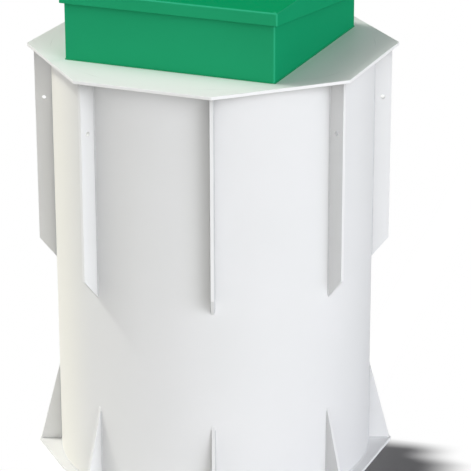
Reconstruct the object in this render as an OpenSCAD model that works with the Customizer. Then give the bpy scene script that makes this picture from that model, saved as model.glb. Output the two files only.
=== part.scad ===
// Septic tank of welded plastic sheet: a round shell between an octagonal base and an octagonal
// deck, with ribs under the deck's corners, gussets on the base's corners, a square neck on the
// deck and a lid that is hinged at the neck's back.
// Millimetres. Origin at the centre of the base's underside, +Z up, the neck's front towards -Y.

/* [Shell] */
// Outside diameter of the round shell
shell_d = 1000; // [980:10:1400]
// Height of the shell between the base and the deck
shell_h = 1330; // [1100:10:2200]
// Thickness of the shell's wall
shell_t = 8; // [5:1:12]

/* [Base and deck] */
// Thickness of the base
base_t = 10; // [6:1:20]
// How far the base's corners stand out from the shell
base_reach = 75; // [65:1:120]
// Thickness of the deck
deck_t = 10; // [6:1:20]
// How far the deck's corners stand out from the shell
deck_reach = 75; // [65:1:120]
// Width of the deck's ledge inside the neck
deck_ledge = 10; // [5:1:40]

/* [Ribs] */
// Thickness of a rib
rib_t = 10; // [6:1:16]
// How far a rib's outer edge stays inside the deck's corner
rib_inset = 21; // [10:1:30]
// Height of a rib's straight outer edge
rib_h = 630; // [300:10:700]
// Height of the slant at a rib's lower end
rib_slant = 65; // [20:5:120]
// Diameter of the lifting eye in a rib
eye_d = 14; // [8:1:24]
// How far a lifting eye's centre lies below the deck
eye_drop = 165; // [60:5:250]

/* [Gussets] */
// Thickness of a gusset
gusset_t = 10; // [6:1:16]
// How far a gusset's toe stays inside the base's corner
gusset_inset = 6; // [6:1:25]
// Height of a gusset above the base
gusset_h = 270; // [120:10:400]
// Height of the blunt end at a gusset's toe
gusset_toe = 3; // [2:1:12]

/* [Neck] */
// Outside width of the square neck
neck_w = 680; // [400:10:690]
// Height of the neck above the deck
neck_h = 208; // [180:2:400]
// Thickness of the neck's walls
neck_t = 10; // [6:1:14]
// Radius of the neck's upright outer corners
neck_corner = 5; // [1:1:5]

/* [Lid] */
// Thickness of the lid's top
lid_t = 8; // [5:1:12]
// Thickness of the lid's skirt
skirt_t = 6; // [6:1:10]
// Gap between the neck's walls and the lid's skirt
skirt_gap = 6; // [5:1:12]
// How far the skirt hangs below the neck's rim at the front
front_drop = 31; // [15:1:50]
// How far the skirt hangs below the neck's rim at the back
back_drop = 106; // [55:1:110]
// Radius of the lid's upright outer corners
lid_corner = 5; // [1:1:5]

/* [Hinges] */
// Distance of each hinge's middle from the neck's side
hinge_inset = 110; // [60:5:140]
// Width of a hinge along its pin
hinge_w = 80; // [50:2:100]
// Height of a hinge's leaf above or below the pin
leaf_h = 44; // [30:1:48]
// Thickness of a hinge's leaf
leaf_t = 3; // [2:0.5:4]
// Outside diameter of a hinge's knuckle
knuckle_d = 12; // [12:1:16]
// Length of the middle knuckle
knuckle_w = 32; // [16:1:40]
// Diameter of the hinge pin
pin_d = 6; // [4:0.5:6]
// Radial play of the pin in its knuckles
pin_play = 0.2; // [0.1:0.1:0.3]
// Play between two knuckles along the pin
knuckle_play = 0.8; // [0.4:0.1:1]
// Gap between the lid's skirt and the knuckles
knuckle_gap = 1; // [1:0.5:3]
// Height of the skirt's back edge above the pin
pin_drop = 5; // [5:1:10]
// Height of the clear space between the pin and a leaf's free edge
leaf_notch = 9; // [9:1:12]

/* [Hidden] */
$fn = 96;
SIDES = 8;
STEP = 360 / SIDES;
PLACES = [
    "front", "front_right", "right", "back_right", "back", "back_left", "left", "front_left"
];
HANDS = ["left", "right"];

WHITE = [0.93, 0.94, 0.94];
GREEN = [0.10, 0.58, 0.40];
STEEL = [0.72, 0.73, 0.74];

shell_r = shell_d / 2;
deck_z = base_t + shell_h;
deck_top = deck_z + deck_t;
rim_z = deck_top + neck_h;
neck_half = neck_w / 2;
manhole = neck_w - 2 * neck_t - 2 * deck_ledge;
rib_w = deck_reach - rib_inset;
gusset_w = base_reach - gusset_inset;
lid_half = neck_half + skirt_gap + skirt_t;
lid_w = 2 * lid_half;
hinge_x = neck_half - hinge_inset;
knuckle_r = knuckle_d / 2;
pin_y = lid_half + knuckle_gap + knuckle_r;
pin_z = rim_z - back_drop - pin_drop;
bore_r = pin_d / 2 + pin_play;
pin_head = 2;
over = 1;

// Turns its children to the octagon's corner number i, counted anticlockwise from the front right
module at_corner(i) {
    rotate([0, 0, (i - 0.5) * STEP - 90]) children();
}

// Regular octagon with two flat sides across the front and the back
module octagon(corner_r) {
    rotate([0, 0, STEP / 2]) circle(r = corner_r, $fn = SIDES);
}

// Outline in the radial plane, made a plate of thickness t that fits the shell's round face
module radial_plate(t) {
    difference() {
        translate([0, t / 2, 0]) rotate([90, 0, 0]) linear_extrude(t) children();
        translate([0, 0, -over]) cylinder(h = deck_top, r = shell_r, $fn = 180);
    }
}

// Plan of a wall whose two outer corners are rounded, with its outer face on y = 0
module wall_plan(w, t, corner) {
    translate([-w / 2, corner]) square([w, t - corner]);
    translate([-w / 2 + corner, 0]) square([w - 2 * corner, t]);
    intersection() {
        translate([-w / 2, 0]) square([w, t]);
        for (side = [-1, 1])
            translate([side * (w / 2 - corner), corner]) circle(r = corner);
    }
}

module base() {
    color(WHITE) linear_extrude(base_t) octagon(shell_r + base_reach);
}

// One eighth of the round shell, centred on the octagon's side number i
module shell_part(i) {
    color(WHITE)
        translate([0, 0, base_t])
            rotate([0, 0, i * STEP - 90 - STEP / 2])
                rotate_extrude(angle = STEP, $fn = 180)
                    translate([shell_r - shell_t, 0]) square([shell_t, shell_h]);
}

module deck() {
    color(WHITE)
        translate([0, 0, deck_z])
            linear_extrude(deck_t)
                difference() {
                    octagon(shell_r + deck_reach);
                    square(manhole, center = true);
                }
}

module rib(i) {
    root = shell_r - rib_t;
    edge = shell_r + rib_w;
    foot_z = deck_z - rib_h;
    color(WHITE)
        at_corner(i)
            difference() {
                radial_plate(rib_t)
                    polygon([
                        [root, foot_z - rib_slant], [shell_r, foot_z - rib_slant], [edge, foot_z],
                        [edge, deck_z], [root, deck_z]
                    ]);
                translate([shell_r + rib_w / 2, rib_t, deck_z - eye_drop])
                    rotate([90, 0, 0]) cylinder(h = 2 * rib_t, d = eye_d);
            }
}

module gusset(i) {
    root = shell_r - gusset_t;
    toe = shell_r + gusset_w;
    color(WHITE)
        at_corner(i)
            radial_plate(gusset_t)
                polygon([
                    [root, base_t], [toe, base_t], [toe, base_t + gusset_toe],
                    [shell_r, base_t + gusset_h], [root, base_t + gusset_h]
                ]);
}

// The neck's front wall, or its back wall when turned by half a turn
module neck_end(turn) {
    color(GREEN)
        rotate([0, 0, turn])
            translate([0, -neck_half, deck_top])
                linear_extrude(neck_h) wall_plan(neck_w, neck_t, neck_corner);
}

// A side wall of the neck, between the two end walls
module neck_side(side) {
    length = neck_w - 2 * neck_t;
    color(GREEN)
        translate([side * (neck_half - neck_t / 2), 0, deck_top + neck_h / 2])
            cube([neck_t, length, neck_h], center = true);
}

module lid_top() {
    color(GREEN)
        translate([0, 0, rim_z])
            linear_extrude(lid_t)
                for (turn = [0, 180])
                    rotate(turn) translate([0, -lid_half]) wall_plan(lid_w, lid_half, lid_corner);
}

// The skirt's front or, when turned, its back: it hangs by drop below the neck's rim
module lid_end(turn, drop) {
    color(GREEN)
        rotate([0, 0, turn])
            translate([0, -lid_half, rim_z - drop])
                linear_extrude(drop) wall_plan(lid_w, skirt_t, lid_corner);
}

// A side of the skirt, whose lower edge slopes down from the front to the back
module lid_side(side) {
    reach = lid_half - skirt_t;
    slope = (back_drop - front_drop) / lid_w;
    color(GREEN)
        translate([side * (lid_half - skirt_t / 2) - skirt_t / 2, 0, rim_z])
            rotate([90, 0, 90])
                linear_extrude(skirt_t)
                    polygon([
                        [-reach, -front_drop - slope * skirt_t],
                        [reach, -back_drop + slope * skirt_t],
                        [reach, 0], [-reach, 0]
                    ]);
}

// Packing block on the neck's back, which brings the hinge out to the skirt's face
module hinge_block(side) {
    depth = lid_half - neck_half;
    color(GREEN)
        translate([side * hinge_x - hinge_w / 2, neck_half, pin_z - leaf_h])
            cube([hinge_w, depth, leaf_h - leaf_notch]);
}

// Part of a knuckle from x0 to x1, joined to a leaf that leaves it upwards or downwards
module knuckle(x0, x1, up) {
    difference() {
        union() {
            translate([x0, 0, 0]) rotate([0, 90, 0]) cylinder(h = x1 - x0, d = knuckle_d);
            translate([x0, -knuckle_r - knuckle_gap, up > 0 ? 0 : -leaf_notch])
                cube([x1 - x0, leaf_t, leaf_notch]);
        }
        translate([x0 - over, 0, 0])
            rotate([0, 90, 0]) cylinder(h = x1 - x0 + 2 * over, r = bore_r);
    }
}

// Flat leaf that lies on the skirt's face or on the packing block
module leaf(up) {
    z0 = up > 0 ? leaf_notch : -leaf_h;
    translate([-hinge_w / 2, -knuckle_r - knuckle_gap, z0])
        cube([hinge_w, leaf_t, leaf_h - leaf_notch]);
}

// Leaf on the packing block, with the two outer knuckles
module neck_leaf(side) {
    inner = knuckle_w / 2 + knuckle_play;
    color(STEEL)
        translate([side * hinge_x, pin_y, pin_z]) {
            leaf(-1);
            knuckle(-hinge_w / 2, -inner, -1);
            knuckle(inner, hinge_w / 2, -1);
        }
}

// Leaf on the lid's skirt, with the middle knuckle
module lid_leaf(side) {
    color(STEEL)
        translate([side * hinge_x, pin_y, pin_z]) {
            leaf(1);
            knuckle(-knuckle_w / 2, knuckle_w / 2, 1);
        }
}

// Pin through the three knuckles, with a head at each end
module hinge_pin(side) {
    color(STEEL)
        translate([side * hinge_x, pin_y, pin_z])
            rotate([0, 90, 0]) {
                cylinder(h = hinge_w + 2 * pin_head, d = pin_d, center = true);
                for (end = [-1, 1])
                    translate([0, 0, end * (hinge_w + pin_head) / 2])
                        cylinder(h = pin_head, d = knuckle_d - 2, center = true);
            }
}

base();
for (i = [0:SIDES - 1])
    shell_part(i);
deck();
for (i = [1:SIDES])
    rib(i);
for (i = [1:SIDES])
    gusset(i);
neck_end(0);  // neck_front
neck_side(1);  // neck_right
neck_end(180);  // neck_back
neck_side(-1);  // neck_left
lid_top();
lid_end(0, front_drop);  // lid_front
lid_side(1);  // lid_right
lid_end(180, back_drop);  // lid_back
lid_side(-1);  // lid_left
for (h = [0, 1]) {
    side = 2 * h - 1;
    hinge_block(side);
    neck_leaf(side);
    lid_leaf(side);
    hinge_pin(side);
}
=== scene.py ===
"""Looks of a septic tank welded from plastic sheet: the smooth white shell with its ribs and
gussets, the green neck and hinged lid, the weld beads, the screws, the finishes and the light.
Metres throughout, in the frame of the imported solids: +Z up, the neck's front towards -Y."""

import math

import bmesh
import bpy
from mathutils import Euler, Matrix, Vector


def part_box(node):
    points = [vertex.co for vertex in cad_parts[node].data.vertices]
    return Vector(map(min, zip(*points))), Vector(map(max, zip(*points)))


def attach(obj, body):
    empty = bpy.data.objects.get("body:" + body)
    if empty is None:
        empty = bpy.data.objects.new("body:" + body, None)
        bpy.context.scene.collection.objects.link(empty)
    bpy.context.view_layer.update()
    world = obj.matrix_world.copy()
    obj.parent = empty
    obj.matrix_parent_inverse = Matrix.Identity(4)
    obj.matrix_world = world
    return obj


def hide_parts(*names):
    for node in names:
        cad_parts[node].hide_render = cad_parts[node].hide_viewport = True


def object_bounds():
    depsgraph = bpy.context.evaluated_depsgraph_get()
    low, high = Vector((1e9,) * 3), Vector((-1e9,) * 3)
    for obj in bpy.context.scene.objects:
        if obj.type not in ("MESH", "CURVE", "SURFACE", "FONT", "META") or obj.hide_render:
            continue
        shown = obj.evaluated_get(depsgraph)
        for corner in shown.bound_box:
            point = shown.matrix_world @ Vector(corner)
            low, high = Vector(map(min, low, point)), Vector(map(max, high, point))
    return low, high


SCENE = bpy.context.scene
SCENE.view_settings.view_transform = "Standard"
SIDES = 8
SIDE_TURN = 360 / SIDES
HANDS = ("left", "right")
PLACES = (
    "front", "front_right", "right", "back_right", "back", "back_left", "left", "front_left"
)
UP = Vector((0, 0, 1))


# ---------------------------------------------------------------- camera

def add_camera(place, aim, roll, lens):
    """Camera at place that looks at aim, turned by roll degrees about its own axis."""
    data = bpy.data.cameras.new("camera")
    data.sensor_width = 36
    data.lens = lens
    data.clip_end = 100
    data.dof.use_dof = False
    camera = bpy.data.objects.new("camera", data)
    SCENE.collection.objects.link(camera)
    turn = (Vector(aim) - Vector(place)).to_track_quat("-Z", "Y")
    spin = Euler((0, 0, math.radians(roll))).to_quaternion()
    camera.rotation_euler = (turn @ spin).to_euler()
    camera.location = place
    SCENE.camera = camera


add_camera(place=(2.882, -6.739, 3.436), aim=(-0.027, 0.241, 0.627), roll=-0.15, lens=188.1)

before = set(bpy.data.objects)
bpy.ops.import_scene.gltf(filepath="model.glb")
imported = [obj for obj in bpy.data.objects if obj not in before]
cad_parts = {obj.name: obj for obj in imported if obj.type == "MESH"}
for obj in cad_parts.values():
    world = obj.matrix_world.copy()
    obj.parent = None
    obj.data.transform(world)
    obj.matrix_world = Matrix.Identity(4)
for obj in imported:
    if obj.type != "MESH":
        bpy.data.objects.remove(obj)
cad_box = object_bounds()


# ---------------------------------------------------------------- sizes, read from the solids

def levels(node):
    """Lowest and highest z of a node."""
    low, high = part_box(node)
    return low.z, high.z


def radii(node):
    """Least and greatest distance of a node's corners from the tank's axis."""
    far = [math.hypot(v.co.x, v.co.y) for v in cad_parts[node].data.vertices]
    return min(far), max(far)


BORE_R, SHELL_R = radii("shell_front")
SHELL_FOOT, SHELL_TOP = levels("shell_front")
DECK_TOP = levels("deck")[1]
RIM_Z = levels("neck_front")[1]
LID_TOP = levels("lid_top")[1]
RIB_FOOT = levels("rib_1")[0]
RIB_EDGE = radii("rib_1")[1]
GUSSET_TOP = levels("gusset_1")[1]
GUSSET_TOE = radii("gusset_1")[1]
PLATE_HALF = cad_box[1].x
SHEET_T = SHELL_FOOT    # the shell stands on the base, which is one sheet thick
NECK_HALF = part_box("neck_front")[1].x
NECK_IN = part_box("neck_right")[0].x
LID_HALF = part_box("lid_top")[1].x
LID_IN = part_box("lid_right")[0].x
SKIRT_FRONT = levels("lid_front")[0]
SKIRT_SLOPE = (levels("lid_back")[0] - SKIRT_FRONT) / (2 * LID_HALF)
NECK_CORNER = 0.005    # radius of the neck's upright corners, which are sharp in the solids


def skirt_edge(y):
    """Level of the lower edge of the lid's skirt at y, which is a number or a socket."""
    return (y + LID_HALF) * SKIRT_SLOPE + SKIRT_FRONT


# ---------------------------------------------------------------- node trees written as plain sums

class Socket:
    """A node's output. Plain arithmetic on it adds the Math nodes that work it out."""

    def __init__(self, tree, output):
        self.tree = tree
        self.output = output

    def math(self, operation, *others):
        """A Math node of this and other values."""
        inputs = dict(enumerate((self, *others)))
        return self.tree.node("ShaderNodeMath", {"operation": operation}, inputs)

    def __add__(self, other):
        return self.math("ADD", other)

    def __sub__(self, other):
        return self.math("SUBTRACT", other)

    def __mul__(self, other):
        return self.math("MULTIPLY", other)

    def __truediv__(self, other):
        return self.math("DIVIDE", other)

    def __rsub__(self, other):
        return self * -1 + other

    __radd__ = __add__
    __rmul__ = __mul__

    def __abs__(self):
        return self.math("ABSOLUTE")

    def between(self, low, high, new_low=0.0, new_high=1.0):
        """The value taken smoothly from low..high to new_low..new_high."""
        settings = {"interpolation_type": "SMOOTHSTEP", "clamp": True}
        inputs = {"Value": self, "From Min": low, "From Max": high}
        inputs.update({"To Min": new_low, "To Max": new_high})
        return self.tree.node("ShaderNodeMapRange", settings, inputs)

    def above(self, level, fade=0.0005):
        """0 up to a level, and 1 from fade above it on."""
        return self.between(level, level + fade)

    def below(self, level, fade=0.0005):
        """0 down to a level, and 1 from fade below it on."""
        return self.between(level, level - fade)

    def on_face(self, level, near=0.0002, far=0.0006):
        """1 within near of a face at that level, falling to 0 at far from it."""
        return abs(self - level).between(far, near)

    def falloff(self, rate):
        """1 at zero, and less by a factor of e for every 1 / rate of the value."""
        return (self * -rate).math("EXPONENT")


def greatest(first, *others):
    """The greatest of some sockets' values."""
    for other in others:
        first = first.math("MAXIMUM", other)
    return first


class Tree:
    """Makes and links the nodes of one tree."""

    def __init__(self, nodes):
        self.nodes = nodes
        self.nodes.nodes.clear()

    def node(self, kind, settings=None, inputs=None, out=0):
        """Adds a node: its settings first, then its inputs' values or links. out picks the output
        that is given back."""
        made = self.nodes.nodes.new(kind)
        for key, value in (settings or {}).items():
            setattr(made, key, value)
        for key, value in (inputs or {}).items():
            self.feed(self.pick(made.inputs, key), value)
        return Socket(self, self.pick(made.outputs, out)) if made.outputs else None

    def pick(self, sockets, key):
        """The enabled socket of that name, or the socket at that place in the list."""
        if isinstance(key, int):
            return sockets[key]
        return next(s for s in sockets if s.enabled and s.name == key)

    def feed(self, target, value):
        """Links a socket to an input, or sets the input to a value."""
        if isinstance(value, Socket):
            self.nodes.links.new(value.output, target)
        elif isinstance(value, tuple) and len(value) == 3 and target.type == "RGBA":
            target.default_value = (*value, 1)
        else:
            target.default_value = value

    def seen(self):
        """1 for the rays that show the background: from the camera, reflected or through glass."""
        rays = ("Is Camera Ray", "Is Glossy Ray", "Is Transmission Ray")
        return greatest(*(self.node("ShaderNodeLightPath", out=ray) for ray in rays))


class Finish(Tree):
    """A material under construction, with the patterns that the tank's finishes share."""

    def __init__(self, name):
        self.material = bpy.data.materials.new(name)
        self.material.use_nodes = True
        super().__init__(self.material.node_tree)
        self.place = self.node("ShaderNodeTexCoord", out="Object")

    def stretched(self, scale, vector=None):
        """Object coordinates, or another vector, stretched by a scale for each axis."""
        inputs = {"Vector": vector or self.place, "Scale": scale}
        return self.node("ShaderNodeMapping", None, inputs)

    def clouds(self, scale, detail=2.0, roughness=0.5, vector=None):
        """Cloudy noise between 0 and 1."""
        inputs = {"Vector": vector or self.place, "Scale": scale, "Detail": detail}
        inputs["Roughness"] = roughness
        return self.node("ShaderNodeTexNoise", None, inputs)

    def mix(self, amount, first, second):
        """Colour from first to second by amount."""
        inputs = {"Factor": amount, "A": first, "B": second}
        return self.node("ShaderNodeMix", {"data_type": "RGBA"}, inputs, out="Result")

    def axis(self, name):
        """The X, Y or Z of the object coordinates."""
        return self.node("ShaderNodeSeparateXYZ", None, {"Vector": self.place}, out=name)

    def bump(self, height, distance):
        """Normal of a surface whose height of 1 stands out by distance."""
        inputs = {"Height": height, "Distance": distance}
        return self.node("ShaderNodeBump", None, inputs, out="Normal")

    def surface(self, inputs):
        """Ends the material in a Principled shader with these inputs."""
        shader = self.node("ShaderNodeBsdfPrincipled", None, inputs)
        self.node("ShaderNodeOutputMaterial", None, {"Surface": shader})
        return self.material


# ---------------------------------------------------------------- where the finishes change, and where light and shade are painted

def from_axis(x, y):
    """Distance from the tank's axis."""
    return (x * x + y * y).math("SQRT")


def from_middle(x, y):
    """The greater of the distances from the neck's two upright middle planes."""
    return greatest(abs(x), abs(y))


def on_shell(x, y):
    """1 on the shell's outer face."""
    return from_axis(x, y).on_face(SHELL_R, near=0.0006, far=0.0012)


def scuffs(finish, turn, scale):
    """Faint patches of fine straight scuffs, as handling leaves them: 1 on a scuff, 0 beside it."""
    turned = finish.node("ShaderNodeMapping", None, {"Vector": finish.place, "Rotation": turn})
    lines = finish.clouds(1.0, roughness=0.6, vector=finish.stretched(scale, turned))
    patches = finish.clouds(6.0)
    return lines.between(0.62, 0.70) * patches.between(0.50, 0.66)


def sawn_edge_highlights(finish):
    """1 on the white sheets' sawn edges, which are painted paler as a painted highlight: the
    plates' rims, the ribs' outer edges and the gussets' slopes."""
    depth = 0.0008    # how far into a sheet the edge's tone starts
    x, y, z = map(finish.axis, "XYZ")
    across = greatest(abs(x), abs(y), (abs(x) + abs(y)) * math.sqrt(0.5))
    rim = across.above(PLATE_HALF - depth)
    away = from_axis(x, y)
    rib_edge = away.above(RIB_EDGE - depth) * z.below(SHELL_TOP) * z.above(GUSSET_TOP, fade=0.02)
    run, rise = GUSSET_TOE - SHELL_R, GUSSET_TOP - SHELL_FOOT
    slope = ((away - SHELL_R) * rise + (z - GUSSET_TOP) * run) / math.hypot(run, rise)
    off_shell = away.above(SHELL_R + 0.0005)
    gusset_edge = slope.above(-depth) * z.above(SHELL_FOOT) * z.below(GUSSET_TOP) * off_shell
    return greatest(rim, rib_edge, gusset_edge)


def right_walls_painted_shade(finish):
    """1 on the outer faces of the neck's and the lid's right walls, which are painted a deeper
    green as painted shade.
    """
    x, z = map(finish.axis, "XZ")
    neck = x.on_face(NECK_HALF, near=0.0003) * z.below(SKIRT_FRONT + 0.001, fade=0.001)
    lid = x.on_face(LID_HALF) * z.below(LID_TOP, fade=0.002)
    return greatest(neck, lid)


def painted_shade_under_skirt(finish):
    """Painted shade: how much darker the neck's green is painted close under the lid's skirt."""
    x, y, z = map(finish.axis, "XYZ")
    depth = skirt_edge(y) - z
    on_neck = from_middle(x, y).below(NECK_HALF + 0.0006, fade=0.0003)
    below_edge = depth.above(-0.001, fade=0.001)
    return greatest(depth, 0.0).falloff(40) * on_neck * below_edge * 0.12


def painted_corner_highlights(finish):
    """Painted highlight: how much paler the green is painted, fully along the lid's front top edge,
    less on upright corners.
    """
    rounding = (-0.0052, -0.0026)    # where it starts and is whole, inside a wall's face
    x, y, z = map(finish.axis, "XYZ")
    outer, inner = from_middle(x, y), abs(x).math("MINIMUM", abs(y))
    on_lid = outer.above(NECK_HALF + 0.004, fade=0.002)
    half = on_lid * (LID_HALF - NECK_HALF) + NECK_HALF
    upright = (inner - half).between(*rounding)
    front = (-LID_HALF - y).between(*rounding)
    top = z.above(LID_TOP - 0.005, fade=0.0025)
    return greatest(upright * 0.6, front * top)


def lid_top_painted_shade(finish):
    """1 on the lid's flat top, which is painted a deeper green as painted shade."""
    return finish.axis("Z").on_face(LID_TOP, far=0.0010)


def deck_face(finish):
    """1 on the deck's upper face."""
    return finish.axis("Z").on_face(DECK_TOP)


def deck_front_painted_light(finish):
    """1 on the deck's upper face at the front, falling to 0 towards its back: where the face is
    painted paler, as painted light.
    """
    return deck_face(finish) * finish.axis("Y").between(0.25, -0.45)


def left_side_painted_light(finish):
    """Painted light: how much paler the white of the shell's left side is painted, 0 in front, 1 at
    the left.
    """
    x, y, z = map(finish.axis, "XYZ")
    leftward = x.between(-0.20, -0.38)
    return on_shell(x, y) * z.below(SHELL_TOP - 0.01, fade=0.07) * leftward


def neck_green_bounce_and_shade(finish):
    """Painted bounce light and shade: how much of the neck's green, a darker tone, is painted on
    the deck's upper face, most close to the neck.
    """
    off_neck = from_middle(finish.axis("X"), finish.axis("Y")) - NECK_HALF
    return greatest(off_neck, 0.0).falloff(18) * deck_face(finish) * 0.30


def painted_shade_in_angles(finish):
    """Painted shade in the angles between the sheets: how much darker the white is painted, most
    close under the deck and in its corners with the ribs, less on the shell beside the ribs and
    the gussets, and least on the ribs and gussets beside the shell. At the gussets it is deepest
    in front and less to the right, and towards the left the shell beside them has none."""
    x, y, z = map(finish.axis, "XYZ")
    below_deck = z.below(SHELL_TOP + 0.0004, fade=0.0004)
    depth = greatest(SHELL_TOP - z, 0.0)
    under_deck = depth.falloff(45) * below_deck
    turned = y.math("ARCTAN2", x) - math.radians(SIDE_TURN / 2)
    aside = turned.math("PINGPONG", math.radians(SIDE_TURN / 2)) * SHELL_R - SHEET_T / 2
    off_shell = from_axis(x, y) - SHELL_R
    shell = on_shell(x, y)
    along_rib = shell * z.above(RIB_FOOT, fade=0.07)
    on_sheet = off_shell.above(0.0006, fade=0.0006) * aside.below(0.0004, fade=0.0004)
    on_sheet = on_sheet * z.above(SHELL_FOOT) * below_deck
    corner = aside.falloff(18) * along_rib + off_shell.falloff(12) * on_sheet
    corner = corner * depth.falloff(20) * below_deck
    low = z.below(GUSSET_TOP, fade=0.12) * x.between(0.34, 0.12, 0.35, 1.0)
    beside_gusset = aside.falloff(28) * shell * low * x.between(-0.205, -0.188)
    beside_shell = low * x.between(-0.24, -0.22) * 0.10 + 0.13
    return corner * 0.28 + greatest(
        under_deck * 0.27,
        aside.falloff(34) * along_rib * 0.17,
        beside_gusset * 0.15,
        off_shell.falloff(30) * on_sheet * beside_shell,
    )


# ---------------------------------------------------------------- finishes

def sheet_finish(name, pale, deep, scuffed, marked, roughness, specular):
    """Smooth satin plastic sheet, coloured through: clouded tone, rolling lines and scuffs.
    marked lists the places of another tone, painted light and shade among them: a colour and the
    function that finds where it is."""
    finish = Finish(name)
    tone = finish.clouds(3.2, detail=3.0).between(0.3, 0.7)
    rolled = finish.clouds(1.0, vector=finish.stretched((150, 150, 1.5)))
    grain = finish.clouds(900)
    waves = finish.clouds(14, detail=1.0)
    marks = greatest(
        scuffs(finish, turn=(0.2, 0.5, 0.3), scale=(3, 420, 420)),
        scuffs(finish, turn=(0.7, 0.2, 0.9), scale=(420, 420, 4)),
    )
    colour = finish.mix(tone, deep, pale)
    for other, found in marked:
        colour = finish.mix(found(finish), colour, other)
    colour = finish.mix(marks * 0.10, colour, scuffed)
    height = grain * 0.35 + rolled * 0.25 + waves * 2.2 - marks * 0.3
    return finish.surface({
        "Base Color": colour,
        "Roughness": tone * 0.05 + rolled * 0.05 + marks * 0.12 + roughness,
        "Specular IOR Level": specular,
        "Normal": finish.bump(height, distance=0.00006),
    })


def bead_finish(name, colour, roughness, specular):
    """Weld bead in the colour it is given, glossier and uneven from the hot shoe."""
    finish = Finish(name)
    lumps = finish.clouds(260)
    fine = finish.clouds(1400)
    shade = finish.clouds(40).between(0.35, 0.65)
    darker = tuple(0.95 * part for part in colour)
    return finish.surface({
        "Base Color": finish.mix(shade, darker, colour),
        "Roughness": shade * 0.12 + roughness,
        "Specular IOR Level": specular,
        "Normal": finish.bump(lumps + fine * 0.4, distance=0.0002),
    })


def steel_finish(name, colour, roughness, brushing):
    """Stainless steel, brushed along the hinge, with duller smears."""
    finish = Finish(name)
    brushed = finish.clouds(
        1.0, detail=3.0, roughness=0.6, vector=finish.stretched(brushing))
    smears = finish.clouds(60).between(0.4, 0.7)
    darker = tuple(0.86 * part for part in colour)
    return finish.surface({
        "Base Color": finish.mix(brushed, darker, colour),
        "Metallic": 1.0,
        "Roughness": brushed * 0.14 + smears * 0.10 + roughness,
        "Normal": finish.bump(brushed, distance=0.00003),
    })


white_sheet = sheet_finish(
    "white_sheet",
    pale=(0.87, 0.872, 0.875),
    deep=(0.855, 0.86, 0.86),
    scuffed=(0.80, 0.83, 0.82),
    marked=[
        # painted shade: the deck's upper face is painted darker than the other white sheets
        ((0.83, 0.835, 0.832), deck_face),
        # painted light: the deck's upper face is painted paler towards its front
        ((0.945, 0.95, 0.945), deck_front_painted_light),
        # painted light: the shell's left side is painted paler and warmer
        ((0.965, 0.955, 0.90), left_side_painted_light),
        # painted highlight: the sawn edges are painted paler
        ((0.95, 0.95, 0.95), sawn_edge_highlights),
        # painted bounce light and shade: the deck's face is painted greener and darker close to the
        # neck
        ((0.10, 0.45, 0.27), neck_green_bounce_and_shade),
        # painted shade: the white is painted darker in the angles between the sheets
        ((0.0, 0.0, 0.0), painted_shade_in_angles),
    ],
    roughness=0.48,
    specular=0.08,
)
green_sheet = sheet_finish(
    "green_sheet",
    pale=(0.019, 0.378, 0.168),
    deep=(0.018, 0.366, 0.160),
    scuffed=(0.06, 0.58, 0.36),
    marked=[
        # painted shade: the lid's flat top is painted a deeper green
        ((0.001, 0.325, 0.122), lid_top_painted_shade),
        # painted shade: the right walls of the neck and lid are painted a deeper green
        ((0.009, 0.334, 0.143), right_walls_painted_shade),
        # painted highlight: the green is painted paler along the lid's front top edge and on the
        # upright corners
        ((0.035, 0.45, 0.235), painted_corner_highlights),
        # painted shade: the neck's green is painted darker under the lid's skirt
        ((0.0, 0.0, 0.0), painted_shade_under_skirt),
    ],
    roughness=0.55,
    specular=0.004,
)
# painted shade: the rib and gusset beads are painted darker than the white sheet, as shade in the
# angles
white_bead = bead_finish("white_bead", (0.66, 0.665, 0.67), roughness=0.42, specular=0.12)
plate_bead = bead_finish("plate_bead", (0.83, 0.835, 0.84), roughness=0.42, specular=0.10)
green_bead = bead_finish("green_bead", (0.008, 0.31, 0.128), roughness=0.44, specular=0.08)
hinge_steel = steel_finish(
    "hinge_steel", (0.46, 0.465, 0.47), roughness=0.34, brushing=(30, 900, 900))
screw_steel = steel_finish(
    "screw_steel", (0.52, 0.525, 0.53), roughness=0.24, brushing=(500, 500, 500))


# ---------------------------------------------------------------- making pieces

def new_piece(name, mesh):
    """Adds a mesh to the scene as a piece."""
    piece = bpy.data.objects.new(name, mesh)
    SCENE.collection.objects.link(piece)
    return piece


def outward(mesh):
    """Turns every closed part of a mesh to face outwards."""
    work = bmesh.new()
    work.from_mesh(mesh)
    bmesh.ops.recalc_face_normals(work, faces=work.faces)
    work.to_mesh(mesh)
    work.free()


def settle(piece):
    """Turns a piece's modifiers into plain mesh."""
    graph = bpy.context.evaluated_depsgraph_get()
    mesh = bpy.data.meshes.new_from_object(piece.evaluated_get(graph), depsgraph=graph)
    piece.modifiers.clear()
    piece.data = mesh
    mesh.name = piece.name


def smooth(piece, bevel=0.0, segments=3, angle=35):
    """Rounds a piece's edges by bevel and shades it smooth, with its flat faces kept flat."""
    if bevel:
        rounding = piece.modifiers.new("rounding", "BEVEL")
        rounding.width = bevel
        rounding.segments = segments
        rounding.limit_method = "ANGLE"
        rounding.angle_limit = math.radians(angle)
        rounding.use_clamp_overlap = True
    weighting = piece.modifiers.new("weighting", "WEIGHTED_NORMAL")
    weighting.keep_sharp = True
    piece.data.shade_smooth()
    settle(piece)


def dress(piece, body, finish, slot, *nodes):
    """Gives a piece its finish and its body, and hides the solids that it stands for. The slot is
    not used.
    """
    piece.data.materials.clear()
    piece.data.materials.append(finish)
    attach(piece, body)
    if nodes:
        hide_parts(*nodes)


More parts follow.
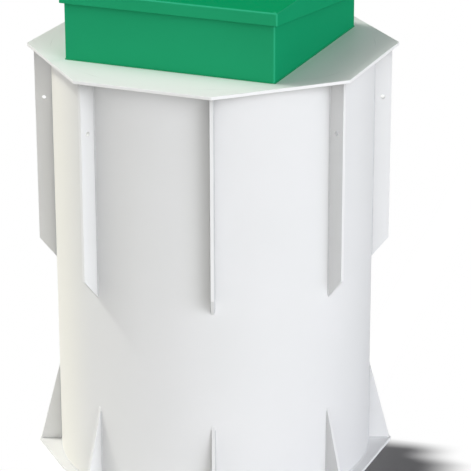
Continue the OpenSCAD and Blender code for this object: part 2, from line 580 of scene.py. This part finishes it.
def loft(name, rings, joined=False):
    """Piece of quads through rings of points, capped at its ends unless they are joined."""
    n = len(rings[0])
    points = [point for ring in rings for point in ring]
    faces = []
    for i in range(len(rings) if joined else len(rings) - 1):
        a, b = i * n, (i + 1) % len(rings) * n
        faces += [(a + j, a + (j + 1) % n, b + (j + 1) % n, b + j) for j in range(n)]
    if not joined:
        faces += [tuple(range(n)), tuple(range(len(points) - n, len(points)))]
    mesh = bpy.data.meshes.new(name)
    mesh.from_pydata(points, [], faces)
    outward(mesh)
    return new_piece(name, mesh)


def circle(radius, height, steps):
    """Ring of points round the Z axis."""
    turns = (math.tau * i / steps for i in range(steps))
    return [(radius * math.cos(a), radius * math.sin(a), height) for a in turns]


def rounded_square(half, corner):
    """Points of a square with rounded corners, anticlockwise from the right side's lower end."""
    steps = 6
    points = []
    for turn in range(4):
        for step in range(steps + 1):
            angle = math.radians(90 * (turn - 1) + 90 * step / steps)
            middle = half - corner
            x = middle * (1 if turn in (0, 1) else -1) + corner * math.cos(angle)
            y = middle * (1 if turn in (1, 2) else -1) + corner * math.sin(angle)
            points.append((x, y))
    return points


def square_ring(half, corner, height):
    """Rounded square at a height, which may be a function of y."""
    level = height if callable(height) else lambda y: height
    return [(x, y, level(y)) for x, y in rounded_square(half, corner)]


def copy_of(name, *nodes):
    """Piece joined from copies of solids, with their flat faces made whole."""
    work = bmesh.new()
    for node in nodes:
        work.from_mesh(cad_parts[node].data)
    bmesh.ops.remove_doubles(work, verts=work.verts, dist=0.00001)
    bmesh.ops.dissolve_limit(
        work, angle_limit=math.radians(0.5), verts=work.verts, edges=work.edges
    )
    bmesh.ops.recalc_face_normals(work, faces=work.faces)
    mesh = bpy.data.meshes.new(name)
    work.to_mesh(mesh)
    work.free()
    return new_piece(name, mesh)


# ---------------------------------------------------------------- white sheets

def make_shell():
    """The rolled shell as one smooth tube."""
    steps = 240
    outside = [circle(SHELL_R, height, steps) for height in (SHELL_FOOT, SHELL_TOP)]
    inside = [circle(BORE_R, height, steps) for height in (SHELL_TOP, SHELL_FOOT)]
    shell = loft("shell", outside + inside, joined=True)
    for edge in shell.data.edges:
        first, second = (shell.data.vertices[i].co for i in edge.vertices)
        rise = abs(first.z - second.z)
        edge.use_edge_sharp = rise < 0.001
    smooth(shell)
    dress(shell, "tank", white_sheet, "white_sheet", *(f"shell_{p}" for p in PLACES))


def make_sheets():
    """The base, the deck, the ribs and the gussets, with their sawn edges eased."""
    corners = range(1, SIDES + 1)
    groups = {
        "base_sheet": (["base"], 0.0012),
        "deck_sheet": (["deck"], 0.0012),
        "ribs": ([f"rib_{i}" for i in corners], 0.0012),
        "gussets": ([f"gusset_{i}" for i in corners], 0.0010),
    }
    for name, (nodes, ease) in groups.items():
        piece = copy_of(name, *nodes)
        smooth(piece, ease)
        dress(piece, "tank", white_sheet, "white_sheet", *nodes)


# ---------------------------------------------------------------- neck and lid

def arc(steps):
    """Sine and cosine from 0 to 90 degrees in steps."""
    for step in range(steps + 1):
        angle = math.radians(90 * step / steps)
        yield math.sin(angle), math.cos(angle)


def make_neck():
    """The square neck as one welded box with rounded upright corners and an eased rim."""
    ease, inner = 0.0015, 0.003
    rings = [square_ring(NECK_HALF, NECK_CORNER, DECK_TOP)]
    for s, c in arc(3):
        inset = ease * (1 - c)
        height = RIM_Z - ease * (1 - s)
        rings.append(square_ring(NECK_HALF - inset, NECK_CORNER - inset, height))
    for s, c in arc(3):
        inset = ease * (1 - s)
        rings.append(square_ring(NECK_IN + inset, inner, RIM_Z - ease * (1 - c)))
    rings.append(square_ring(NECK_IN, inner, DECK_TOP))
    neck = loft("neck", rings, joined=True)
    smooth(neck)
    walls = (f"neck_{p}" for p in ("front", "right", "back", "left"))
    dress(neck, "tank", green_sheet, "green_sheet", *walls)


def make_lid():
    """The lid as one cap: rounded edges, and a skirt that is deeper at the back."""
    corner, inner, fillet, ease = 0.006, 0.002, 0.005, 0.0015

    def edge(lift):
        """Level of the skirt's lower edge along y, raised by lift."""
        return lambda y: skirt_edge(y) + lift

    rings = [square_ring(LID_IN, inner, RIM_Z)]
    for s, c in arc(3):
        inset = ease * (1 - c)
        rings.append(square_ring(LID_IN + inset, inner, edge(ease * (1 - s))))
    for s, c in arc(3):
        inset = ease * (1 - s)
        rings.append(square_ring(LID_HALF - inset, corner - inset, edge(ease * (1 - c))))
    for s, c in arc(6):
        inset = fillet * (1 - c)
        rings.append(square_ring(LID_HALF - inset, corner - inset, LID_TOP - fillet * (1 - s)))
    lid = loft("lid", rings)
    smooth(lid)
    parts = (f"lid_{p}" for p in ("top", "front", "right", "back", "left"))
    dress(lid, "lid", green_sheet, "green_sheet", *parts)


make_shell()
make_sheets()
make_neck()
make_lid()


# ---------------------------------------------------------------- hinges

def make_hinges():
    """Blocks, leaves and pins with eased edges."""
    kinds = {
        "hinge_block": ("tank", green_sheet, "green_sheet", 0.0012),
        "neck_leaf": ("tank", hinge_steel, "hinge_steel", 0.0004),
        "lid_leaf": ("lid", hinge_steel, "hinge_steel", 0.0004),
        "hinge_pin": ("tank", hinge_steel, "hinge_steel", 0.0004),
    }
    for kind, (body, finish, slot, ease) in kinds.items():
        for hand in HANDS:
            piece = copy_of(f"{kind}_{hand}_eased", f"{kind}_{hand}")
            smooth(piece, ease, segments=2, angle=40)
            dress(piece, body, finish, slot, f"{kind}_{hand}")


make_hinges()


# ---------------------------------------------------------------- weld beads

def start_tree(name, *inputs):
    """Empty geometry node tree with a geometry input and output and the named inputs."""
    group = bpy.data.node_groups.new(name, "GeometryNodeTree")
    for label, kind in (("Geometry", "Geometry"), *inputs):
        group.interface.new_socket(label, in_out="INPUT", socket_type="NodeSocket" + kind)
    group.interface.new_socket("Geometry", in_out="OUTPUT", socket_type="NodeSocketGeometry")
    return Tree(group)


def end_tree(tree, geometry):
    """Ends a tree in real mesh of the finish that is given to it."""
    real = tree.node("GeometryNodeRealizeInstances", None, {"Geometry": geometry})
    finish = tree.node("NodeGroupInput", out="Material")
    real = tree.node("GeometryNodeSetMaterial", None, {"Geometry": real, "Material": finish})
    tree.node("NodeGroupOutput", None, {"Geometry": real})
    return tree.nodes


def grow(piece, group, values):
    """Runs a geometry node tree with these values on a piece and keeps what it makes."""
    modifier = piece.modifiers.new(group.name, "NODES")
    modifier.node_group = group
    for item in group.interface.items_tree:
        if item.in_out == "INPUT" and item.name in values:
            modifier[item.identifier] = values[item.name]
    settle(piece)
    outward(piece.data)


def weld_tree():
    """Turns runs of points with the attributes side_a and side_b into weld beads that fill the
    corner between those two directions. A bead has fine ripples, is uneven from the welder's
    hand and thins towards its ends."""
    thinnest = 0.4      # share of the full size that a bead has at its ends
    thinning = 0.005    # how far from its ends a bead has its full size
    uneven = 0.25       # share of the size by which the hand varies
    sizes = ((name, "Float") for name in ("Leg", "Pitch", "Depth", "Step"))
    tree = start_tree("weld_beads", *sizes, ("Material", "Material"))

    def given(name):
        """An input of the tree."""
        return tree.node("NodeGroupInput", out=name)

    def store(geometry, name, kind, value):
        """Keeps a value on the geometry under a name."""
        inputs = {"Geometry": geometry, "Name": name, "Value": value}
        return tree.node("GeometryNodeStoreNamedAttribute", {"data_type": kind}, inputs)

    def stored(name, kind):
        """The value of the geometry's attribute of that name."""
        settings = {"data_type": kind}
        return tree.node("GeometryNodeInputNamedAttribute", settings, {"Name": name}, "Attribute")

    def combine(operation, *parts):
        """Vector sum or product of the parts."""
        inputs = dict(enumerate(parts))
        return tree.node("ShaderNodeVectorMath", {"operation": operation}, inputs, "Vector")

    run = tree.node("GeometryNodeMeshToCurve", None, {"Mesh": given("Geometry")})
    run = tree.node(
        "GeometryNodeResampleCurve", {"mode": "LENGTH"}, {"Curve": run, "Length": given("Step")})
    along = tree.node("GeometryNodeSplineParameter", out="Length")
    left_over = tree.node("GeometryNodeSplineLength", out="Length") - along
    ends = along.math("MINIMUM", left_over).between(0.0, thinning, thinnest, 1.0)
    ripple = (along / given("Pitch") * math.tau).math("SINE") * given("Depth")
    hand = tree.node("ShaderNodeTexNoise", None, {"Scale": 35.0, "Detail": 1.0}) - 0.5
    place = tree.node("GeometryNodeInputPosition")
    run = store(run, "spine", "FLOAT_VECTOR", place)
    run = store(run, "reach", "FLOAT", (ripple + hand * uneven + 1) * ends * given("Leg"))
    inputs = {"Resolution": 5, "Radius": 0.001}
    section = tree.node("GeometryNodeCurvePrimitiveCircle", None, inputs)
    section = store(section, "corner", "FLOAT", tree.node("GeometryNodeInputIndex"))
    inputs = {"Curve": run, "Profile Curve": section, "Fill Caps": True}
    bead = tree.node("GeometryNodeCurveToMesh", None, inputs)
    # Corner 0 of the section lies hidden behind the angle, the others on a quarter circle, and
    # all are sunk a little so that the bead's edges lie in the sheets.
    hidden, sunk, step = 0.12, 0.03, math.radians(30)
    corner, reach = stored("corner", "FLOAT"), stored("reach", "FLOAT")
    on_arc = corner.between(0.4, 0.6)
    turn = corner * step - step
    first = (turn.math("COSINE") + hidden) * on_arc - hidden
    second = (turn.math("SINE") + hidden) * on_arc - hidden
    sides = []
    for name, amount in (("side_a", first), ("side_b", second)):
        lean = dict.fromkeys("XYZ", (amount - sunk) * reach)
        lean = tree.node("ShaderNodeCombineXYZ", None, lean)
        sides.append(combine("MULTIPLY", stored(name, "FLOAT_VECTOR"), lean))
    moved = combine("ADD", stored("spine", "FLOAT_VECTOR"), combine("ADD", *sides))
    bead = tree.node("GeometryNodeSetPosition", None, {"Geometry": bead, "Position": moved})
    bead = tree.node("GeometryNodeSetShadeSmooth", None, {"Geometry": bead})
    return end_tree(tree, bead)


def make_beads(name, runs, leg, finish, slot):
    """Weld beads along runs. A run is a list of points, each a place with the two directions
    between which the bead sits, and whether the run is closed."""
    points, edges = [], []
    for run, closed in runs:
        start = len(points)
        points += run
        edges += [(i, i + 1) for i in range(start, len(points) - 1)]
        if closed:
            edges.append((len(points) - 1, start))
    mesh = bpy.data.meshes.new(name)
    mesh.from_pydata([point[0] for point in points], edges, [])
    for label, which in (("side_a", 1), ("side_b", 2)):
        layer = mesh.attributes.new(label, "FLOAT_VECTOR", "POINT")
        for item, point in zip(layer.data, points):
            item.vector = point[which]
    beads = new_piece(name, mesh)
    values = {"Leg": leg, "Pitch": 0.007, "Depth": 0.07, "Step": 0.0018, "Material": finish}
    grow(beads, BEAD_TREE, values)
    dress(beads, "tank", finish, slot)


def straight(start, end, side_a, side_b):
    """Straight open run."""
    return [(Vector(start), side_a, side_b), (Vector(end), side_a, side_b)], False


def ring(radius, height, side_b):
    """Closed run round the shell that starts at the back."""
    steps = 180
    run = []
    for step in range(steps):
        angle = math.radians(90) + math.tau * step / steps
        out = Vector((math.cos(angle), math.sin(angle), 0))
        run.append((out * radius + UP * height, out, side_b))
    return run, True


def plate_runs():
    """Round the shell, where it meets the base and the deck."""
    return [ring(SHELL_R, SHELL_FOOT, UP), ring(SHELL_R, SHELL_TOP, -UP)]


def rib_runs():
    """Along the ribs and the gussets, and up the shell's own seam at the back. The beads stop
    short of the sheets' free ends."""
    off_edge, off_toe, off_foot, off_tip, off_plate = 0.003, 0.004, 0.006, 0.014, 0.004
    flatness = 0.35
    runs = []
    for corner in range(SIDES):
        angle = math.radians(SIDE_TURN * (corner + 0.5) - 90)
        out = Vector((math.cos(angle), math.sin(angle), 0))
        for side in (-1, 1):
            aside = Vector((-out.y, out.x, 0)) * side
            face = aside * SHEET_T / 2
            wall, rib_end = face + out * SHELL_R, face + out * (RIB_EDGE - off_edge)
            toe = face + out * (GUSSET_TOE - off_toe)
            foot, top = UP * SHELL_FOOT, UP * SHELL_TOP
            runs += [
                straight(wall + UP * (RIB_FOOT + off_foot), wall + top, aside, out),
                straight(wall + top, rib_end + top, aside, -UP),
                straight(wall + foot, wall + UP * (GUSSET_TOP - off_tip), aside, out),
                straight(wall + foot, toe + foot, aside, UP),
            ]
    low = Vector((0, SHELL_R, SHELL_FOOT + off_plate))
    high = Vector((0, SHELL_R, SHELL_TOP - off_plate))
    for side in (-1, 1):
        runs.append(straight(low, high, Vector((side, 0, 0)), Vector((0, flatness, 0))))
    return runs


def green_runs():
    """Where the neck meets the deck, and round each hinge block but not along its top."""
    off_top = 0.001
    middle = NECK_HALF - NECK_CORNER
    foot = []
    for x, y in rounded_square(NECK_HALF, NECK_CORNER):
        out = Vector((x - max(-middle, min(middle, x)), y - max(-middle, min(middle, y)), 0))
        foot.append((Vector((x, y, DECK_TOP)), out.normalized(), UP))
    runs = [(foot, True)]
    for hand in HANDS:
        low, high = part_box(f"hinge_block_{hand}")
        away = Vector((0, 1, 0))
        for x, side in ((low.x, -1), (high.x, 1)):
            aside = Vector((side, 0, 0))
            runs.append(straight((x, low.y, low.z), (x, low.y, high.z - off_top), aside, away))
        runs.append(straight((low.x, low.y, low.z), (high.x, low.y, low.z), -UP, away))
    return runs


BEAD_TREE = weld_tree()
make_beads("plate_beads", plate_runs(), leg=0.0036, finish=plate_bead, slot="white_sheet")
make_beads("rib_beads", rib_runs(), leg=0.0031, finish=white_bead, slot="white_sheet")
make_beads("green_beads", green_runs(), leg=0.0030, finish=green_bead, slot="green_sheet")


# ---------------------------------------------------------------- screws

def screw_head():
    """Button head with a hexagon socket, its seat at the origin and its dome towards +Z."""
    steps = 24
    dome = (
        (0.0042, -0.0004), (0.0042, 0.0003), (0.0039, 0.0007), (0.0032, 0.0010), (0.0024, 0.0012)
    )
    socket_half, socket_floor, socket_top = 0.00125, 0.0003, 0.0012

    def hexagon(half, height):
        """Ring of points on a hexagon that is twice half across its flats."""
        points = []
        for i in range(steps):
            angle = math.tau * i / steps
            radius = half / math.cos(angle % (math.tau / 6) - math.tau / 12)
            points.append((radius * math.cos(angle), radius * math.sin(angle), height))
        return points

    rings = [circle(radius, height, steps) for radius, height in dome]
    rings += [hexagon(socket_half, height) for height in (socket_top, socket_floor)]
    return loft("screw_head", rings)


def screw_tree(head):
    """Sets a screw head, turned towards the back, on each point."""
    tree = start_tree("screw_heads", ("Seed", "Int"), ("Material", "Material"))
    seed = tree.node("NodeGroupInput", out="Seed")
    spin = tree.node(
        "FunctionNodeRandomValue", {"data_type": "FLOAT"},
        {"Min": 0.0, "Max": math.tau / 6, "Seed": seed}, "Value")
    turn = tree.node("ShaderNodeCombineXYZ", None, {"X": math.radians(-90), "Y": spin})
    inputs = {
        "Points": tree.node("NodeGroupInput", out="Geometry"),
        "Instance": tree.node("GeometryNodeObjectInfo", None, {"Object": head}, "Geometry"),
        "Rotation": turn,
    }
    return end_tree(tree, tree.node("GeometryNodeInstanceOnPoints", None, inputs))


def make_screws():
    """Three screws in each leaf of each hinge."""
    pitch = 0.028
    head = screw_head()
    group = screw_tree(head)
    for kind, body, seed in (("neck", "tank", 3), ("lid", "lid", 8)):
        places = []
        for hand in HANDS:
            low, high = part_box(f"{kind}_leaf_{hand}")
            middle = (low + high) / 2
            places += [(middle.x + aside, high.y, middle.z) for aside in (-pitch, 0, pitch)]
        mesh = bpy.data.meshes.new(f"{kind}_screws")
        mesh.from_pydata(places, [], [])
        screws = new_piece(f"{kind}_screws", mesh)
        grow(screws, group, {"Seed": seed, "Material": screw_steel})
        dress(screws, body, screw_steel, "hinge_steel")
    bpy.data.objects.remove(head)


make_screws()


# ---------------------------------------------------------------- floor, lamps and world

def floor_painted_shadow(finish):
    """Where the floor is painted with a shadow beside the base's right side, and where it is plain
    white: past that painted shadow, which ends in two lobes, and away from the tank on its other
    sides."""
    # The painted shadow runs out to the right, leaning a little to the back. Its rows slant further
    # that way, and its front rows reach further out, past a notch.
    lean, slant, slant_from = math.radians(8), 0.2, PLATE_HALF + 0.08
    lobe_length, notch_row, notch_half, notch_depth = 0.062, -0.105, 0.040, 0.012
    x, y = map(finish.axis, "XY")
    along = x * math.cos(lean) + y * math.sin(lean)
    across = y * math.cos(lean) - x * math.sin(lean)
    corner = PLATE_HALF * math.tan(math.radians(SIDE_TURN / 2))
    edge = across - (corner * math.cos(lean) - PLATE_HALF * math.sin(lean))
    row = edge - (along - slant_from) * slant
    lobe = row.between(-0.118, -0.185) * lobe_length
    notch = abs(row - notch_row).between(notch_half, 0.0) * notch_depth
    reach = along - PLATE_HALF + notch - lobe
    right_side = along.between(0.30, 0.45)
    shadow_paint = edge.between(0.022, -0.072) * across.above(-corner - 0.20, fade=0.20) * right_side
    lit = 1 - shadow_paint * reach.between(0.278, 0.082)
    away = from_axis(x, y)
    left_side = along.between(-0.10, -0.40) * away.between(0.52, 0.62)
    elsewhere = away.between(0.66, 0.90) * (1 - right_side)
    return shadow_paint, greatest(right_side * lit, left_side, elsewhere)


def add_floor():
    """White studio floor that shows the tank's shadow. Beside the base's right side a painted
    shadow deepens what the lamps cast; past it and away from the tank the floor is plain white.
    What it throws back on the tank is an even pale grey."""
    half, level = 40, -0.0002
    finish = Finish("studio_floor")
    shadow_paint, plain = floor_painted_shadow(finish)
    # painted shadow: the floor's colour is taken down to a deep grey where the shadow is painted
    tone = finish.mix(shadow_paint.between(0.0, 0.2), (1.2, 1.2, 1.2), (0.236, 0.233, 0.233))
    near = finish.node("ShaderNodeBsdfDiffuse", None, {"Color": tone})
    white = finish.node("ShaderNodeEmission", None, {"Color": (1, 1, 1), "Strength": 1.0})
    shown = finish.node("ShaderNodeMixShader", None, {0: plain, 1: near, 2: white})
    bounced = finish.node("ShaderNodeBsdfDiffuse", None, {"Color": (0.75, 0.75, 0.75)})
    mixed = finish.node("ShaderNodeMixShader", None, {0: finish.seen(), 1: bounced, 2: shown})
    finish.node("ShaderNodeOutputMaterial", None, {"Surface": mixed})
    mesh = bpy.data.meshes.new("floor")
    corners = [(x * half, y * half, level) for x, y in ((-1, -1), (1, -1), (1, 1), (-1, 1))]
    mesh.from_pydata(corners, [], [(0, 1, 2, 3)])
    mesh.materials.append(finish.material)
    new_piece("floor", mesh)


def add_lamp(name, azimuth, elevation, spread, strength, colour, highlight=True):
    """Far lamp in the direction azimuth from +X and elevation, and spread wide, all in degrees.
    A strength of 1 on a face turned to it shows the face's colour as it is written. A lamp
    without a highlight isn't mirrored in the pieces."""
    data = bpy.data.lights.new(name, "SUN")
    data.energy = strength * math.pi
    data.angle = math.radians(spread)
    data.color = colour
    lamp = bpy.data.objects.new(name, data)
    lamp.visible_glossy = highlight
    SCENE.collection.objects.link(lamp)
    a, e = math.radians(azimuth), math.radians(elevation)
    towards = Vector((math.cos(a) * math.cos(e), math.sin(a) * math.cos(e), math.sin(e)))
    lamp.rotation_euler = towards.to_track_quat("Z", "Y").to_euler()


def add_world(ambient):
    """White to the camera and in reflections, and a faint even light on the tank."""
    world = bpy.data.worlds.new("studio")
    SCENE.world = world
    world.use_nodes = True
    tree = Tree(world.node_tree)
    strength = tree.seen().between(0.0, 1.0, ambient, 1.0)
    sky = tree.node("ShaderNodeBackground", None, {"Color": (1, 1, 1), "Strength": strength})
    tree.node("ShaderNodeOutputWorld", None, {"Surface": sky})


add_floor()
add_lamp(
    "left_key", azimuth=-177, elevation=50, spread=8, strength=0.372, colour=(1.0, 1.0, 0.957))
add_lamp(
    "left_wide", azimuth=-165, elevation=37, spread=50, strength=0.325, colour=(1.0, 0.985, 0.923))
add_lamp(
    "left_high", azimuth=170, elevation=60, spread=30, strength=0.08, colour=(1.0, 1.0, 0.86))
add_lamp(
    "front", azimuth=-70, elevation=10, spread=30, strength=0.175, colour=(1.0, 0.99, 0.985))
add_lamp(
    "right_front", azimuth=-30, elevation=23, spread=40, strength=0.474, colour=(0.985, 1.0, 1.034))
add_lamp(
    "right_side", azimuth=0, elevation=15, spread=30, strength=0.135, colour=(0.92, 0.96, 1.1))
add_lamp(
    "back_fill", azimuth=116, elevation=8, spread=40, strength=0.12, colour=(1.0, 1.0, 1.0),
    highlight=False)
add_world(ambient=0.05)
